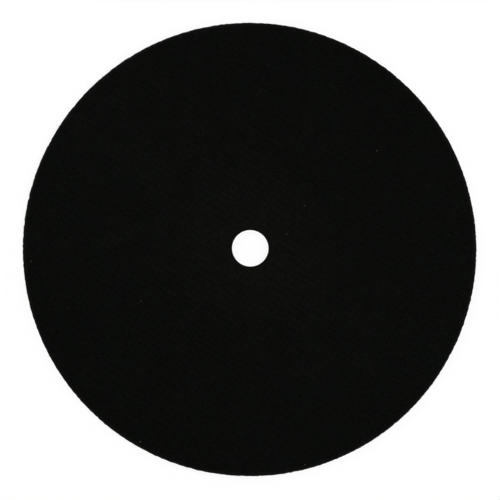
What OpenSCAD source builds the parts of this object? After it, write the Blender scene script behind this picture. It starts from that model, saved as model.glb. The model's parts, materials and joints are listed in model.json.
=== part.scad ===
// Flat cut off wheel of resin-bonded abrasive, pressed with a layer of glass cloth in each face.
// It lies on one face with the axis of its bore upright. The origin is on that axis, in the plane it lies on.

/* [Wheel] */
// Outside diameter of the wheel
wheel_d = 400; // [300:1:500]
// Thickness over the raised threads of both faces
wheel_t = 4; // [3:0.1:8]

/* [Bore] */
// Diameter of the hole for the arbor
bore_d = 32; // [20:0.1:80]

/* [Edges] */
// Width of the broken edge that runs round the rim on each face
rim_break = 0.5; // [0.1:0.05:1]
// Width of the broken edge at each mouth of the bore
bore_break = 0.25; // [0.1:0.05:1]

/* [Glass cloth] */
// Distance from one raised thread to the next
thread_pitch = 5.7; // [3:0.1:10]
// Width of a thread where it rises out of the bond
thread_w = 1.4; // [0.8:0.1:2.5]
// Width of the flat that the press leaves along the crown of a thread
crown_w = 0.7; // [0.3:0.05:0.8]
// Height of a thread above the bond
thread_h = 0.1; // [0.05:0.01:0.3]
// Direction of the threads, turned from the X axis
thread_angle = -31; // [-90:1:90]
// Bare bond between the end of a thread and the broken edge beside it
thread_margin = 0.5; // [0.2:0.1:5]

/* [Hidden] */
$fn = 180;
abrasive_black = [0.047, 0.050, 0.043];
wheel_r = wheel_d / 2;
bore_r = bore_d / 2;
bond_t = wheel_t - 2 * thread_h;
root_depth = bond_t / 4;
outer_end_r = wheel_r - rim_break - thread_margin;
inner_end_r = bore_r + bore_break + thread_margin;
threads_each_side = floor((outer_end_r - thread_w) / thread_pitch);

// Distances from the middle of a thread to its outer and inner ends, for a thread at y from the axis.
// The inner distance is 0 where the thread passes clear of the bore.
function outer_end(y) = sqrt(pow(outer_end_r, 2) - pow(abs(y) + thread_w / 2, 2));
function inner_end(y) = sqrt(max(0, pow(inner_end_r, 2) - pow(max(0, abs(y) - thread_w / 2), 2)));

// Half section of the bonded disc, from the wall of the bore out to the rim
module half_section() {
    polygon([
        [bore_r + bore_break, 0],
        [wheel_r - rim_break, 0],
        [wheel_r, rim_break],
        [wheel_r, bond_t - rim_break],
        [wheel_r - rim_break, bond_t],
        [bore_r + bore_break, bond_t],
        [bore_r, bond_t - bore_break],
        [bore_r, bore_break]
    ]);
}

// Section of a thread, with its root in the bond and its crown above it
module thread_section() {
    polygon([
        [-thread_w / 2, -root_depth],
        [thread_w / 2, -root_depth],
        [thread_w / 2, 0],
        [crown_w / 2, thread_h],
        [-crown_w / 2, thread_h],
        [-thread_w / 2, 0]
    ]);
}

// A straight stretch of thread from one x to another
module stretch(from, to) {
    translate([from, 0, 0])
        rotate([90, 0, 90])
            linear_extrude(height = to - from) thread_section();
}

// The raised threads of one face, which is the plane z = 0
module cloth() {
    for (i = [-threads_each_side : threads_each_side]) {
        y = i * thread_pitch;
        translate([0, y, 0])
            if (inner_end(y) > 0) {
                stretch(inner_end(y), outer_end(y));
                stretch(-outer_end(y), -inner_end(y));
            } else {
                stretch(-outer_end(y), outer_end(y));
            }
    }
}

module wheel() {
    color(abrasive_black)
        translate([0, 0, thread_h]) {
            rotate_extrude() half_section();
            rotate([0, 0, thread_angle]) {
                translate([0, 0, bond_t]) cloth();
                mirror([0, 0, 1]) cloth();
            }
        }
}

wheel();
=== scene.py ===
"""Cut off wheel: a disc of resin-bonded grain with glass cloth pressed into both faces, seen from above."""

import json
import math

import bmesh
import bpy
import numpy as np
from mathutils import Matrix, Vector


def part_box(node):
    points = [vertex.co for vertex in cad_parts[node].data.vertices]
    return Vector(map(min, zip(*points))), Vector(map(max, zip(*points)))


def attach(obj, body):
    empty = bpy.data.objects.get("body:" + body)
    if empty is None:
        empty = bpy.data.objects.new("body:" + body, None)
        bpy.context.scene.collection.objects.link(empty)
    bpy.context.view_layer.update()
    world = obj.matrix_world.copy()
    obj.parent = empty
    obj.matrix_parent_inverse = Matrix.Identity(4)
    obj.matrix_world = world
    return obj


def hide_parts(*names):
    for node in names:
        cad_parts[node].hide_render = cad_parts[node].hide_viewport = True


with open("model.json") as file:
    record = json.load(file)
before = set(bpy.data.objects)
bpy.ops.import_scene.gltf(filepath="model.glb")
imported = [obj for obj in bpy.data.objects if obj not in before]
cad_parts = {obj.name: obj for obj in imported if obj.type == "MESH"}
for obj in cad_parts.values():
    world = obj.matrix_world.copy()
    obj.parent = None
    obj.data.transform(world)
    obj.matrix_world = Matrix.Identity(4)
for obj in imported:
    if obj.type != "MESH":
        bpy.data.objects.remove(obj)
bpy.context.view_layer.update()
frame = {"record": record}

# Sizes of the wheel, in metres, from the frame
lowest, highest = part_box("wheel")
mounts = {mount["name"]: mount for mount in frame["record"]["mounts"]}
RIM_R = (highest.x - lowest.x) / 2
BORE_R = mounts["bore"]["dims"]["r_mm"] / 1000

# Glass cloth. The raised threads run as they do in the frame, and the crossing ones lie lower.
# The shade of a thread is how much of its glass shows at its crest.
RAISED = {"angle": math.radians(-31.0), "pitch": 0.0057, "width": 0.0014, "height": 0.000085, "shade": 0.95}
CROSSING = {"angle": math.radians(58.5), "pitch": 0.00464, "width": 0.0013, "height": 0.000055, "shade": 0.63}
KNOT_HEIGHT = 0.0001
KNOT_SHADE = 0.92

# Samples across a thread: a foot, the crest and a foot
CREST = (False, True, False)
PER_THREAD = len(CREST)

# Unevenness of the cloth: spreads in metres, and the spread and the limits of a factor on the shades
UNEVEN_PITCH = 0.0002
UNEVEN_HEIGHT = 0.000008
UNEVEN_KNOT = 0.00015
UNEVEN_SHADE = 0.55
SHADE_LIMITS = (0, 2)

# Slow pull of the cloth out of square, in waves: lengths along x and y, phase, and the way that each pulls
DRIFT = 0.0006
DRIFT_WAVES = (
    {"lengths": (0.31, 0.23), "phase": 0.7, "pull": (0.4, 0.9)},
    {"lengths": (-0.17, 0.29), "phase": 2.1, "pull": (-0.5, 0.5)},
)

# Planes of the bond, which the threads stand out of
BOND_TOP = highest.z - KNOT_HEIGHT
BOND_FOOT = lowest.z + KNOT_HEIGHT

# Bare strips beside the broken edges, and the clearance that the cloth keeps from them
RIM_STRIP = 0.0009
BORE_STRIP = 0.0011
CLOTH_CLEARANCE = 0.0005

# Edges of the rim and the bore. Each row has its inset, its depth below the face and its share of roughness.
RIM_EDGE = ((0.00045, 0.00003, 0.3), (0.00012, 0.0003, 0.7), (0.0, 0.00095, 1.0))
BORE_EDGE = ((0.00032, 0.00002, 0.3), (0.00006, 0.00018, 1.0), (0.0, 0.0005, 1.0))
RIM_STEPS = 1200
BORE_STEPS = 120

# Depth of the grain at the rim and in the bore. The rim's grain also lies off its place, along the rim by a
# share of a step, and up or down by a share of its depth.
RIM_GRAIN = 0.0004
BORE_GRAIN = 0.00004
RIM_GRAIN_ALONG = 0.3
RIM_GRAIN_UP = 0.6

# Unevenness of the whole rim, in layers of so many bends round it with such a depth
RIM_BENDS = {24: 0.00006, 600: 0.00011}
RIM_INSET = 0.0002

# Photograph: a square picture, and where the wheel and its bore lie in it, in pixels
PHOTO_SIDE = 500
WHEEL_CENTRE_PX = (249.6, 249.5)
WHEEL_RADIUS_PX = 227.4
BORE_CENTRE_PX = (250.33, 248.2)
CAMERA_DISTANCE = 1.1
SENSOR_MM = 36

# Lamps: their places in metres and their power in watts, and the width that they share
LAMPS = {
    "key": ((-1.0, 1.0, 1.0), 17),
    "right_fill": ((1.4, 0.2, 1.0), 12),
    "front_fill": ((0.2, -1.4, 1.0), 10.5),
}
LAMP_WIDTH = 1.0

# Random numbers, the same in each run
draw = np.random.default_rng(seed=49)


# Wheel mesh

def drift(points):
    """Slow pull of the cloth out of square, at points in the plane of a face."""
    pulled = np.zeros(points.shape)
    for wave in DRIFT_WAVES:
        turns = (points / wave["lengths"]).sum(axis=1)
        pulled += DRIFT * np.outer(np.sin(2 * np.pi * turns + wave["phase"]), wave["pull"])
    return pulled


def thread_samples(family):
    """Places across a family of threads (foot, crest and foot of each), and which of them are crests."""
    count = math.ceil(RIM_R / family["pitch"])
    crests = np.arange(-count, count + 1) * family["pitch"]
    crests += draw.normal(0, UNEVEN_PITCH, len(crests))
    half = family["width"] / 2
    samples = np.stack([crests - half, crests, crests + half], axis=1).ravel()
    return samples, np.tile(CREST, len(crests))


def direction(family):
    return np.array([math.cos(family["angle"]), math.sin(family["angle"])])


def cloth_places(along, across):
    """Places of the cloth's grid points in the plane. The cloth is pulled, and each knot lies a bit off."""
    s, t = np.meshgrid(along, across, indexing="ij")
    places = s.reshape(-1, 1) * direction(RAISED) + t.reshape(-1, 1) * direction(CROSSING)
    places += drift(places)
    off_place = draw.normal(0, UNEVEN_KNOT, (len(along) // PER_THREAD, len(across) // PER_THREAD, 2))
    places += off_place.repeat(PER_THREAD, axis=0).repeat(PER_THREAD, axis=1).reshape(-1, 2)
    return places


def uneven_shade(threads, samples):
    """How much paler or darker each thread is along its samples. It changes slowly from knot to knot."""
    knots = draw.normal(1, UNEVEN_SHADE, (threads, samples // PER_THREAD + 2))
    slow = np.mean([knots[:, :-2], knots[:, 1:-1], knots[:, 2:]], axis=0)
    return np.clip(slow, *SHADE_LIMITS).repeat(PER_THREAD, axis=1)


def cloth_relief(crossing, raised):
    """Heights over the bond and shades of the cloth's grid points, from marks of each family's crests."""
    along, across = raised.shape
    knot = crossing & raised
    height = np.where(raised, RAISED["height"], np.where(crossing, CROSSING["height"], 0.0))
    height = np.where(knot, KNOT_HEIGHT, height + draw.normal(0, UNEVEN_HEIGHT, knot.shape))
    raised_shade = uneven_shade(across, along).T
    crossing_shade = CROSSING["shade"] * uneven_shade(along, across)
    shade = np.where(raised, RAISED["shade"] * raised_shade, np.where(crossing, crossing_shade, 0.0))
    shade = np.where(knot, KNOT_SHADE * raised_shade, shade)
    return np.clip(height, 0, KNOT_HEIGHT), shade


def clear_quads(radius):
    """Quads of a grid, as point numbers, that lie clear of the rim and the bore, from its points' radii."""
    outermost = RIM_R - RIM_STRIP - CLOTH_CLEARANCE
    innermost = BORE_R + BORE_STRIP + CLOTH_CLEARANCE
    clear = (radius < outermost) & (radius > innermost)
    whole = clear[:-1, :-1] & clear[1:, :-1] & clear[1:, 1:] & clear[:-1, 1:]
    number = np.arange(radius.size).reshape(radius.shape)
    return np.stack([number[:-1, :-1], number[1:, :-1], number[1:, 1:], number[:-1, 1:]], axis=-1)[whole]


def cloth():
    """Grid of points along both families of threads: places in the plane, heights, shades, and the quads that
    lie clear of the rim and the bore."""
    along, crossing_crest = thread_samples(CROSSING)
    across, raised_crest = thread_samples(RAISED)
    places = cloth_places(along, across)
    height, shade = cloth_relief(*np.meshgrid(crossing_crest, raised_crest, indexing="ij"))
    radius = np.hypot(places[:, 0], places[:, 1]).reshape(height.shape)
    used, quads = np.unique(clear_quads(radius), return_inverse=True)
    return places[used], height.ravel()[used], shade.ravel()[used], quads.reshape(-1, 4)


def circle(radius, steps):
    turn = np.arange(steps) * 2 * np.pi / steps
    return np.stack([radius * np.cos(turn), radius * np.sin(turn)], axis=1)


def filled_sheet(points, quads, rings):
    """The quads, and triangles in the gaps between their ragged outline and the rings, all facing up."""
    sheet = bmesh.new()
    corners = [sheet.verts.new((x, y, 0)) for x, y in points]
    sheet.verts.index_update()
    for quad in quads:
        sheet.faces.new([corners[n] for n in quad])
    for ring in rings:
        for a, b in zip(ring, np.roll(ring, -1)):
            sheet.edges.new((corners[a], corners[b]))
    halfway = (RIM_R + BORE_R) / 2
    open_edges = [edge for edge in sheet.edges if len(edge.link_faces) < 2]
    for at_rim in (True, False):
        gap = [edge for edge in open_edges if (edge.verts[0].co.length > halfway) == at_rim]
        bmesh.ops.triangle_fill(sheet, use_beauty=True, edges=gap, normal=(0, 0, 1))
    sheet.normal_update()
    faces = []
    for face in sheet.faces:
        numbers = [corner.index for corner in face.verts]
        faces.append(numbers if face.normal.z > 0 else numbers[::-1])
    sheet.free()
    return faces


def woven_face():
    """One face of the wheel: points, heights over the bond, shades and faces, and then the numbers of the
    points in the ring beside the rim and in the ring beside the bore."""
    points, height, shade, quads = cloth()
    rim_ring = len(points) + np.arange(RIM_STEPS)
    bore_ring = len(points) + RIM_STEPS + np.arange(BORE_STEPS)
    rim_points = circle(RIM_R - RIM_STRIP, RIM_STEPS)
    bore_points = circle(BORE_R + BORE_STRIP, BORE_STEPS)
    points = np.concatenate([points, rim_points, bore_points])
    bare = np.zeros(RIM_STEPS + BORE_STEPS)
    faces = filled_sheet(points, quads, (rim_ring, bore_ring))
    return points, np.append(height, bare), np.append(shade, bare), faces, rim_ring, bore_ring


def wall_rows(edge):
    """Rows of a wall from the upper face to the lower one: inset, level and share of roughness."""
    upper = [(inset, BOND_TOP - depth, rough) for inset, depth, rough in edge]
    lower = [(inset, BOND_FOOT + depth, rough) for inset, depth, rough in reversed(edge)]
    return upper + [(0.0, (BOND_TOP + BOND_FOOT) / 2, 1.0)] + lower


def rim_unevenness(turn):
    """How far the rim lies inside its full radius, at angles round the axis."""
    inset = np.full(len(turn), RIM_INSET)
    for bends, depth in RIM_BENDS.items():
        places = np.arange(bends) * 2 * np.pi / bends
        inset += np.interp(turn, places, draw.normal(0, depth, bends), period=2 * np.pi)
    return np.clip(inset, 0, None)


def rim_rings():
    """Rings of points down the rim, broken up by the grain that stands open there."""
    step = 2 * np.pi / RIM_STEPS
    even = np.arange(RIM_STEPS) * step
    uneven = rim_unevenness(even)
    rings = []
    for inset, level, rough in wall_rows(RIM_EDGE):
        turn = even + RIM_GRAIN_ALONG * step * rough * draw.uniform(-1, 1, RIM_STEPS)
        radius = RIM_R - inset - uneven - RIM_GRAIN * rough * draw.uniform(0, 1, RIM_STEPS) ** 2
        level = level + RIM_GRAIN_UP * RIM_GRAIN * rough * draw.uniform(-1, 1, RIM_STEPS)
        level = np.clip(level, BOND_FOOT, BOND_TOP)
        rings.append(np.stack([radius * np.cos(turn), radius * np.sin(turn), level], axis=1))
    return rings


def bore_rings():
    """Rings of points down the wall of the bore, which the press leaves nearly smooth."""
    rings = []
    for inset, level, rough in wall_rows(BORE_EDGE):
        grain = BORE_GRAIN * rough * draw.uniform(0, 1, (BORE_STEPS, 1))
        flat = circle(1.0, BORE_STEPS) * (BORE_R + inset + grain)
        rings.append(np.column_stack([flat, np.full(BORE_STEPS, level)]))
    return rings


def numbered(rings, first):
    """Numbers of the points in each ring, when the first of them has the number given."""
    sizes = np.cumsum([0] + [len(ring) for ring in rings])
    return [first + np.arange(a, b) for a, b in zip(sizes, sizes[1:])]


def wall(loops, outward):
    """Quads down through rings of point numbers, facing out of the wheel or into its bore."""
    quads = []
    for upper, lower in zip(loops, loops[1:]):
        band = np.stack([upper, lower, np.roll(lower, -1), np.roll(upper, -1)], axis=1)
        quads += (band if outward else band[:, ::-1]).tolist()
    return quads


def wheel_mesh():
    """Points of the closed wheel, their shades, its pressed faces, and the broken ones at its rim."""
    points, height, shade, faces, rim_ring, bore_ring = woven_face()
    rim = rim_rings()
    bore = bore_rings()
    below = len(points)
    rim_loops = numbered(rim, 2 * below)
    bore_loops = numbered(bore, 2 * below + RIM_STEPS * len(rim))
    upper = np.column_stack([points, BOND_TOP + height])
    lower = np.column_stack([points, BOND_FOOT - height])
    vertices = np.concatenate([upper, lower, *rim, *bore])
    shades = np.zeros(len(vertices), np.float32)
    shades[:2 * below] = np.tile(shade, 2)
    pressed = faces + [[below + n for n in reversed(face)] for face in faces]
    pressed += wall([bore_ring, *bore_loops, below + bore_ring], outward=False)
    broken = wall([rim_ring, *rim_loops, below + rim_ring], outward=True)
    return vertices, shades, pressed, broken


def make_wheel(face_material, rim_material):
    vertices, shades, pressed, broken = wheel_mesh()
    mesh = bpy.data.meshes.new("wheel_body")
    mesh.from_pydata(vertices.tolist(), [], pressed + broken)
    mesh.materials.append(face_material)
    mesh.materials.append(rim_material)
    at_rim = np.arange(len(mesh.polygons)) >= len(pressed)
    mesh.polygons.foreach_set("material_index", at_rim.astype(np.int32))
    mesh.polygons.foreach_set("use_smooth", ~at_rim)
    mesh.attributes.new("thread", "FLOAT", "POINT").data.foreach_set("value", shades)
    mesh.update()
    piece = bpy.data.objects.new("wheel_body", mesh)
    bpy.context.scene.collection.objects.link(piece)
    return piece


# Materials

class Graph:
    """Adds nodes to one node tree. A socket's value is a number, a colour, or another node's output."""

    def __init__(self, tree):
        self.tree = tree
        tree.nodes.clear()

    def put(self, socket, value):
        if isinstance(value, bpy.types.NodeSocket):
            self.tree.links.new(value, socket)
        else:
            socket.default_value = value

    def node(self, kind, sockets=None, **settings):
        node = self.tree.nodes.new(kind)
        for name, value in settings.items():
            setattr(node, name, value)
        for name, value in (sockets or {}).items():
            self.put(node.inputs[name], value)
        return node

    def math(self, operation, *values):
        return self.node("ShaderNodeMath", dict(enumerate(values)), operation=operation).outputs[0]

    def product(self, first, *others):
        for other in others:
            first = self.math("MULTIPLY", first, other)
        return first

    def remap(self, value, low, high, to_low, to_high, smooth=False):
        sockets = {"Value": value, "From Min": low, "From Max": high, "To Min": to_low, "To Max": to_high}
        kind = "SMOOTHSTEP" if smooth else "LINEAR"
        return self.node("ShaderNodeMapRange", sockets, interpolation_type=kind).outputs["Result"]

    def varied(self, noise, share):
        """A factor that lies up to a share below or above 1, over the usual range of a noise."""
        low, high = 0.3, 0.7
        return self.remap(noise, low, high, 1 - share, 1 + share)

    def mix(self, share, a, b):
        node = self.node("ShaderNodeMix", {0: share, 6: a, 7: b}, data_type="RGBA")
        return node.outputs[2]

    def vector(self, operation, *values):
        node = self.node("ShaderNodeVectorMath", dict(enumerate(values)), operation=operation)
        return node.outputs["Value" if operation in ("LENGTH", "DOT_PRODUCT") else "Vector"]

    def tinted(self, colour, noise, spread):
        """The colour with each channel raised or lowered by its own channel of a noise round 0.5."""
        even = [1 - width / 2 for width in spread]
        factor = self.vector("MULTIPLY_ADD", noise, spread, even)
        return self.vector("MULTIPLY", colour, self.vector("MAXIMUM", factor, (0, 0, 0)))

    def noise(self, place, size, detail):
        """Noise of a size: one number, and a colour of three."""
        sockets = {"Vector": place, "Scale": 1 / size, "Detail": detail}
        return self.node("ShaderNodeTexNoise", sockets).outputs

    def cells(self, place, size, dimensions="3D"):
        """Cells of a size: the distance from a cell's middle, and three random numbers of the cell."""
        sockets = {"Vector": place, "Scale": 1 / size}
        cell = self.node("ShaderNodeTexVoronoi", sockets, voronoi_dimensions=dimensions).outputs
        split = self.node("ShaderNodeSeparateColor", {"Color": cell["Color"]}).outputs
        return cell["Distance"], split

    def object_place(self):
        return self.node("ShaderNodeTexCoord").outputs["Object"]

    def bump(self, height, strength, depth):
        sockets = {"Height": height, "Strength": strength, "Distance": depth}
        return self.node("ShaderNodeBump", sockets).outputs[0]

    def surface(self, colour, rough, normal, gloss):
        shader = self.node("ShaderNodeBsdfPrincipled", {
            "Base Color": colour, "Roughness": rough, "Normal": normal, "Specular IOR Level": gloss})
        self.node("ShaderNodeOutputMaterial", {"Surface": shader.outputs[0]})


def new_material(name):
    material = bpy.data.materials.new(name)
    material.use_nodes = True
    return material, Graph(material.node_tree)


def bond_colour(g, radius):
    """Black bond, with a browner painted highlight that fades outwards from the bore."""
    bond_black = (0.00146, 0.00187, 0.00141, 1)
    painted_highlight_brown = (0.0040, 0.00385, 0.0030, 1)
    painted_highlight_share = 0.49
    painted_highlight_reach = 0.042
    # Painted highlight: the bond is paler and browner round the bore and fades outwards, standing in for
    # light reflected there
    painted_highlight = g.math("EXPONENT", g.math("DIVIDE", g.math("SUBTRACT", BORE_R, radius), painted_highlight_reach))
    return g.mix(g.product(painted_highlight, painted_highlight_share), bond_black, painted_highlight_brown)


def grit_level(g, grit, middle, edge):
    """Factor that goes from the middle of each piece of grit to its edge."""
    edge_distance = 0.9
    return g.remap(grit, 0, edge_distance, middle, edge)


def grain_level(g, pick, grit, thread):
    """Factor of the grain in the bond: few grains are pale, and little of the grain shows on a thread."""
    fewness = 3.0
    darkest, palest = 0.4, 2.8
    grit_middle, grit_edge = 2.0, 0.0
    shown_on_thread = 0.25
    grains = g.remap(g.math("POWER", pick, fewness), 0, 1, darkest, palest)
    level = g.product(grains, grit_level(g, grit, grit_middle, grit_edge))
    shown = g.remap(thread, 0, 1, 1.0, shown_on_thread)
    return g.math("MULTIPLY_ADD", g.math("SUBTRACT", level, 1.0), shown, 1.0)


def glass_and_sheen_share(g, thread, flat, radius):
    """How much of the threads' glass shows, with painted sheen on them: it fades towards the rim and towards
    the upper right.
    """
    fade_from = 0.05
    share_inside, share_at_rim = 0.70, 0.20
    dim_sheen_side = (0.707, 0.707, 0)
    dim_sheen_at = 0.12
    full, bare = 1.05, 0.67
    # Painted sheen: the threads are paler near the middle and fainter towards the rim and the upper right,
    # standing in for light reflected off them
    outwards = g.remap(radius, fade_from, RIM_R, share_inside, share_at_rim)
    toward_dim_sheen_side = g.vector("DOT_PRODUCT", flat, dim_sheen_side)
    sideways = g.remap(toward_dim_sheen_side, 0, dim_sheen_at, full, bare, smooth=True)
    return g.product(thread, outwards, sideways)


def with_paler_rim_band(g, colour, radius):
    """The colour, paler in a band beside the rim."""
    rim_band_grey = (0.0055, 0.0055, 0.0051, 1)
    rim_band_width, palest_band_width = 0.0045, 0.0005
    palest_band_share = 0.75
    rim_band = g.remap(radius, RIM_R - rim_band_width, RIM_R - palest_band_width, 0, palest_band_share, smooth=True)
    return g.mix(rim_band, colour, rim_band_grey)


def with_tints(g, colour, place, grit):
    """The colour with fine tints of the grain, wider ones, and slow changes of level."""
    fine_size, mottle_size, patch_size = 0.0008, 0.017, 0.045
    fine_tint = (2.2, 2.0, 2.9)
    mottle_tint = (0.28, 0.14, 0.28)
    mottle_change, patch_change = 0.04, 0.05
    grit_middle, grit_edge = 1.15, 0.8
    mottle = g.noise(place, mottle_size, 2)
    patches = g.noise(place, patch_size, 1)["Fac"]
    colour = g.tinted(colour, g.noise(place, fine_size, 1)["Color"], fine_tint)
    colour = g.tinted(colour, mottle["Color"], mottle_tint)
    slow_change = g.product(g.varied(mottle["Fac"], mottle_change), g.varied(patches, patch_change))
    level = g.product(grit_level(g, grit, grit_middle, grit_edge), slow_change)
    return g.vector("MULTIPLY", colour, level)


def with_painted_glints(g, colour, flat):
    """The colour with a few painted glints, pale specks where grains catch the light, and some fainter ones,
    each in the middle of a wide cell.
    """
    painted_glint = (0.075, 0.075, 0.064, 1)
    cell_size = 0.016
    glint_radius = 0.026
    faint_from, pale_from = 0.945, 0.989
    most_faint = 0.36
    # Painted glints: pale specks put into the colour where grains catch the light
    off_middle, pick = g.cells(flat, cell_size, "2D")
    faint = g.remap(pick[0], faint_from, pale_from, 0, most_faint)
    shine = g.math("MAXIMUM", g.math("GREATER_THAN", pick[0], pale_from), faint)
    return g.mix(g.product(shine, g.math("LESS_THAN", off_middle, glint_radius)), colour, painted_glint)


def pressed_finish(g, place, grain, thread):
    """Roughness and normal of a pressed face, which is smoother on the threads."""
    smoothest, roughest = 0.52, 0.7
    thread_polish = 0.2
    grain_relief = 0.6
    pore_size = 0.0006
    relief_on_thread = 0.35
    strength, depth = 0.5, 0.00008
    rough = g.math("SUBTRACT", g.remap(grain[2], 0, 1, smoothest, roughest), g.product(thread, thread_polish))
    relief = g.math("ADD", g.product(grain[0], grain_relief), g.noise(place, pore_size, 2)["Fac"])
    relief = g.product(relief, g.remap(thread, 0, 1, 1, relief_on_thread))
    return rough, g.bump(relief, strength, depth)


def bonded_face():
    """Black resin bond with fine grain, paler glass threads with painted sheen, a few painted glints, and a
    browner painted highlight round the bore.
    """
    glass_grey = (0.0055, 0.0058, 0.0052, 1)
    grain_size, grit_size = 0.0005, 0.0011
    gloss = 0.03
    material, g = new_material("bonded_face")
    place = g.object_place()
    split = g.node("ShaderNodeSeparateXYZ", {"Vector": place}).outputs
    flat = g.node("ShaderNodeCombineXYZ", {"X": split["X"], "Y": split["Y"]}).outputs[0]
    radius = g.vector("LENGTH", flat)
    thread = g.node("ShaderNodeAttribute", attribute_name="thread").outputs["Fac"]
    grain = g.cells(place, grain_size)[1]
    grit = g.cells(flat, grit_size, "2D")[0]

    colour = g.vector("MULTIPLY", bond_colour(g, radius), grain_level(g, grain[0], grit, thread))
    colour = g.mix(glass_and_sheen_share(g, thread, flat, radius), colour, glass_grey)
    colour = with_paler_rim_band(g, colour, radius)
    colour = with_tints(g, colour, place, grit)
    colour = with_painted_glints(g, colour, flat)
    rough, normal = pressed_finish(g, place, grain, thread)
    g.surface(colour, rough, normal, gloss)
    return material


def open_grain():
    """Broken grain at the rim: black bond between grey and brown grains, the palest of them the shiniest."""
    tones = {0.0: (0.0022, 0.0023, 0.0021, 1), 0.55: (0.004, 0.0042, 0.0038, 1),
             0.85: (0.0085, 0.008, 0.0068, 1), 1.0: (0.022, 0.02, 0.017, 1)}
    grain_size, pore_size = 0.0007, 0.0004
    dull, shiny = 0.7, 0.38
    pore_relief = 0.5
    strength, depth = 0.8, 0.0003
    gloss = 0.3
    material, g = new_material("open_grain")
    place = g.object_place()
    off_middle, pick = g.cells(place, grain_size)
    ramp = g.node("ShaderNodeValToRGB", {"Fac": pick[0]})
    stops = ramp.color_ramp.elements
    for position in list(tones)[1:-1]:
        stops.new(position)
    for stop, colour in zip(stops, tones.values()):
        stop.color = colour
    rough = g.remap(pick[0], 0, 1, dull, shiny)
    relief = g.math("SUBTRACT", g.product(g.noise(place, pore_size, 2)["Fac"], pore_relief), off_middle)
    g.surface(ramp.outputs["Color"], rough, g.bump(relief, strength, depth), gloss)
    return material


# Stage

def seen_directly(g):
    """1 for rays that show the backdrop: the camera's, and mirrored or refracted ones."""
    path = g.node("ShaderNodeLightPath").outputs
    seen = g.math("MAXIMUM", path["Is Camera Ray"], path["Is Glossy Ray"])
    return g.math("MAXIMUM", seen, path["Is Transmission Ray"])


def white_floor():
    """White that takes the wheel's shadow and goes over into the white surround."""
    paint = (0.95, 0.95, 0.95, 1)
    shadow_to, white_from = 1.2 * RIM_R, 3 * RIM_R
    white_in_shadow = 0.9
    material, g = new_material("white_floor")
    diffuse = g.node("ShaderNodeBsdfDiffuse", {"Color": paint})
    glow = g.node("ShaderNodeEmission", {"Color": (1, 1, 1, 1), "Strength": 1.0})
    away = g.vector("LENGTH", g.object_place())
    white = g.remap(away, shadow_to, white_from, white_in_shadow, 1.0, smooth=True)
    share = g.product(seen_directly(g), white)
    surface = g.node("ShaderNodeMixShader", {0: share, 1: diffuse.outputs[0], 2: glow.outputs[0]})
    g.node("ShaderNodeOutputMaterial", {"Surface": surface.outputs[0]})
    return material


def make_floor():
    half = 4.0
    mesh = bpy.data.meshes.new("floor")
    corners = [(-half, -half, 0), (half, -half, 0), (half, half, 0), (-half, half, 0)]
    mesh.from_pydata(corners, [], [(0, 1, 2, 3)])
    mesh.materials.append(white_floor())
    floor = bpy.data.objects.new("floor", mesh)
    floor.location.z = lowest.z
    bpy.context.scene.collection.objects.link(floor)


def light_world():
    """Soft surround: white round the horizon and dark overhead, as under a black ceiling."""
    white_to, dark_from = 0.15, 0.85
    horizon, overhead = 1.0, 0.08
    world = bpy.data.worlds.new("studio")
    world.use_nodes = True
    g = Graph(world.node_tree)
    way = g.node("ShaderNodeTexCoord").outputs["Generated"]
    rise = g.node("ShaderNodeSeparateXYZ", {"Vector": way}).outputs["Z"]
    strength = g.remap(rise, white_to, dark_from, horizon, overhead, smooth=True)
    back = g.node("ShaderNodeBackground", {"Color": (1, 1, 1, 1), "Strength": strength})
    g.node("ShaderNodeOutputWorld", {"Surface": back.outputs[0]})
    bpy.context.scene.world = world


def soft_lamp(name, place, power):
    lamp = bpy.data.lights.new(name, "AREA")
    lamp.shape = "DISK"
    lamp.size = LAMP_WIDTH
    lamp.energy = power
    holder = bpy.data.objects.new(name, lamp)
    holder.location = place
    holder.rotation_euler = (-Vector(place)).to_track_quat("-Z", "Y").to_euler()
    bpy.context.scene.collection.objects.link(holder)


def make_camera():
    """Looks down on the wheel. In the photograph the bore lies a little off the middle of the outline, which
    gives the lean of the camera and the side that it leans to."""
    scale = RIM_R / WHEEL_RADIUS_PX
    offset = Vector((BORE_CENTRE_PX[0] - WHEEL_CENTRE_PX[0], WHEEL_CENTRE_PX[1] - BORE_CENTRE_PX[1])) * scale
    lean = math.asin(offset.length * CAMERA_DISTANCE / RIM_R ** 2)
    far = offset.normalized()
    back = Vector((-far.x * math.sin(lean), -far.y * math.sin(lean), math.cos(lean)))
    right = Vector((0, 1, 0)).cross(back).normalized()
    up = back.cross(right)
    middle = PHOTO_SIDE / 2
    aim = Vector((0, 0, highest.z))
    aim += right * (middle - BORE_CENTRE_PX[0]) * scale - up * (middle - BORE_CENTRE_PX[1]) * scale
    lens = bpy.data.cameras.new("camera")
    lens.sensor_width = SENSOR_MM
    lens.lens = SENSOR_MM * CAMERA_DISTANCE / (PHOTO_SIDE * scale)
    camera = bpy.data.objects.new("camera", lens)
    turn = Matrix((right, up, back)).transposed().to_4x4()
    camera.matrix_world = Matrix.Translation(aim + back * CAMERA_DISTANCE) @ turn
    bpy.context.scene.collection.objects.link(camera)
    bpy.context.scene.camera = camera


make_camera()
make_floor()
light_world()
for name, (place, power) in LAMPS.items():
    soft_lamp(name, place, power)
bpy.context.scene.view_settings.view_transform = "Standard"

wheel = make_wheel(bonded_face(), open_grain())
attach(wheel, "root")
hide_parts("wheel")
